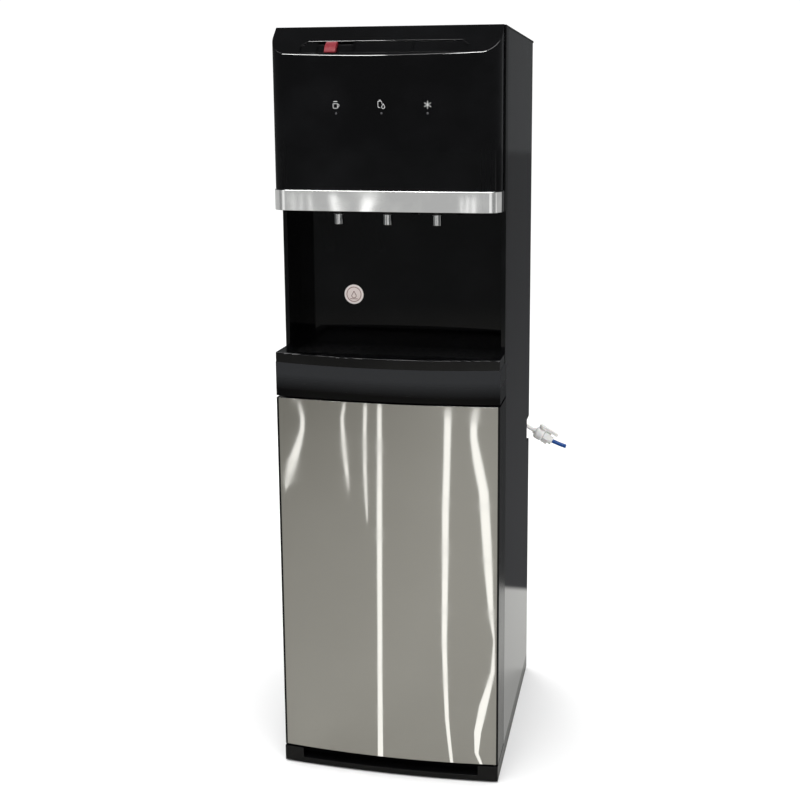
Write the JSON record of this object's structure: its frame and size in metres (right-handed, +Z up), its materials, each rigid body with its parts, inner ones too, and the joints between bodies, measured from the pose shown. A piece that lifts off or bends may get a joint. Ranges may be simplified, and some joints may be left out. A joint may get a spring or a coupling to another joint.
{
  "type": "point-of-use water cooler",
  "caption": "Free-standing bottleless water cooler with push keys, dispensing niche, lift-out drip tray and steel-faced filter cabinet door.",
  "frame": {"origin": "middle of the cabinet's footprint, on the floor", "axes": "+Z up, -Y towards the front with the door and the keys, +X to the right seen from the front"},
  "size_m": [0.3732, 0.362, 1.0375],
  "materials": {
    "gloss_black": "high gloss",
    "satin_black": "satin",
    "black_sheet": "glossy paint",
    "stainless": "polished, fine grain",
    "bright_trim": "bright",
    "bare_steel": "plain",
    "galvanised": "dull zinc",
    "red_plastic": "gloss",
    "white_plastic": "satin",
    "ivory_plastic": "satin",
    "grey_plastic": "satin",
    "blue_tube": "satin",
    "white_tube": "satin",
    "silicone": "translucent",
    "rubber": "matte",
    "copper": "plain",
    "black_tube": "satin paint",
    "foam": "expanded foam",
    "board": "satin",
    "magnet": "dull"
  },
  "bodies": {
    "cabinet": {"base_plinth": "satin_black", "base_feet": "rubber", "left_side_panel": "black_sheet", "right_side_panel": "black_sheet", "back_panel": "black_sheet", "back_screws": "bare_steel", "top_cover": "satin_black", "front_frame": "satin_black", "tank_shelves": "galvanised", "door_hinge_pins": "bare_steel", "bay_liner": "grey_plastic", "filter_manifold": "white_plastic", "tray_housing": "satin_black", "niche_liner": "gloss_black", "head_housing": "satin_black", "head_fascia": "gloss_black", "chrome_band": "bright_trim", "key_carrier": "satin_black", "control_board": "board", "spouts": "bright_trim", "tap_solenoids": "ivory_plastic", "cold_tank": "bare_steel", "cold_tank_foam": "foam", "evaporator_coil": "copper", "float_valve": "ivory_plastic", "hot_tank": "bare_steel", "hot_tank_foam": "foam", "power_box": "grey_plastic", "compressor": "black_tube", "compressor_grommets": "rubber", "condenser_tube": "black_tube", "condenser_wires": "black_tube", "filter_drier": "copper", "copper_lines": "copper", "water_hoses": "silicone", "inlet_elbow": "white_plastic", "inlet_tube": "white_tube", "valve_body": "white_plastic", "valve_nut": "white_plastic", "supply_tube": "blue_tube", "switch_bezel": "satin_black", "cable_gland": "satin_black", "drain_spigot": "ivory_plastic"},
    "door": {"door_frame": "satin_black", "door_skin": "stainless", "door_liner": "satin_black", "door_magnets": "magnet"},
    "hot_push_key": {"hot_key": "gloss_black"},
    "ambient_push_key": {"ambient_key": "gloss_black"},
    "cold_push_key": {"cold_key": "gloss_black"},
    "child_lock": {"child_lock_slider": "red_plastic"},
    "tray": {"drip_tray": "gloss_black"},
    "grille": {"drip_grille": "satin_black"},
    "inlet_lever": {"valve_lever": "white_plastic"},
    "hot_rocker": {"hot_switch": "red_plastic"},
    "cold_rocker": {"cold_switch": "grey_plastic"},
    "cap": {"drain_cap": "ivory_plastic"},
    "float": {"float_arm": "ivory_plastic"},
    "sediment_cartridge": {"sediment_filter": "white_plastic"},
    "carbon_cartridge": {"carbon_filter": "white_plastic"}
  },
  "joints": [
    {"name": "door_swing", "type": "hinge", "parent": "cabinet", "child": "door", "pos_m": [-0.145, -0.124, 0.283], "axis": [0, 0, -1], "range_deg": [0, 100]},
    {"name": "hot_key_press", "type": "slide", "parent": "cabinet", "child": "hot_push_key", "axis": [0, 0.7026, -0.7115], "range_m": [0, 0.003], "stiffness_N_per_m": 900, "springref_m": -0.001},
    {"name": "ambient_key_press", "type": "slide", "parent": "cabinet", "child": "ambient_push_key", "axis": [0, 0.7026, -0.7115], "range_m": [0, 0.003], "stiffness_N_per_m": 900, "springref_m": -0.001},
    {"name": "cold_key_press", "type": "slide", "parent": "cabinet", "child": "cold_push_key", "axis": [0, 0.7026, -0.7115], "range_m": [0, 0.003], "stiffness_N_per_m": 900, "springref_m": -0.001},
    {"name": "child_lock_slide", "type": "slide", "parent": "hot_push_key", "child": "child_lock", "axis": [1, 0, 0], "range_m": [0, 0.015]},
    {"name": "tray_lift", "type": "slide", "parent": "cabinet", "child": "tray", "axis": [0, 0, 1], "range_m": [0, 0.06]},
    {"name": "grille_lift", "type": "slide", "parent": "tray", "child": "grille", "axis": [0, 0, 1], "range_m": [0, 0.05]},
    {"name": "inlet_lever_turn", "type": "hinge", "parent": "cabinet", "child": "inlet_lever", "pos_m": [0.17372, 0.154, 0.41475], "axis": [-0.5, 0, -0.866], "range_deg": [0, 90]},
    {"name": "hot_rocker_tip", "type": "hinge", "parent": "cabinet", "child": "hot_rocker", "pos_m": [0.077, 0.134, 0.9], "axis": [-1, 0, 0], "range_deg": [0, 16]},
    {"name": "cold_rocker_tip", "type": "hinge", "parent": "cabinet", "child": "cold_rocker", "pos_m": [0.107, 0.134, 0.9], "axis": [-1, 0, 0], "range_deg": [0, 16]},
    {"name": "drain_cap_pull", "type": "slide", "parent": "cabinet", "child": "cap", "axis": [0, 1, 0], "range_m": [0, 0.015]},
    {"name": "float_drop", "type": "hinge", "parent": "cabinet", "child": "float", "pos_m": [0.015, 0.017, 0.974], "axis": [0, -1, 0], "range_deg": [0, 25]},
    {"name": "sediment_filter_twist", "type": "hinge", "parent": "cabinet", "child": "sediment_cartridge", "pos_m": [0.052, -0.046, 0.281], "axis": [0, 0, 1], "range_deg": [0, 90]},
    {"name": "carbon_filter_twist", "type": "hinge", "parent": "cabinet", "child": "carbon_cartridge", "pos_m": [-0.052, -0.046, 0.281], "axis": [0, 0, 1], "range_deg": [0, 90]}
  ]
}
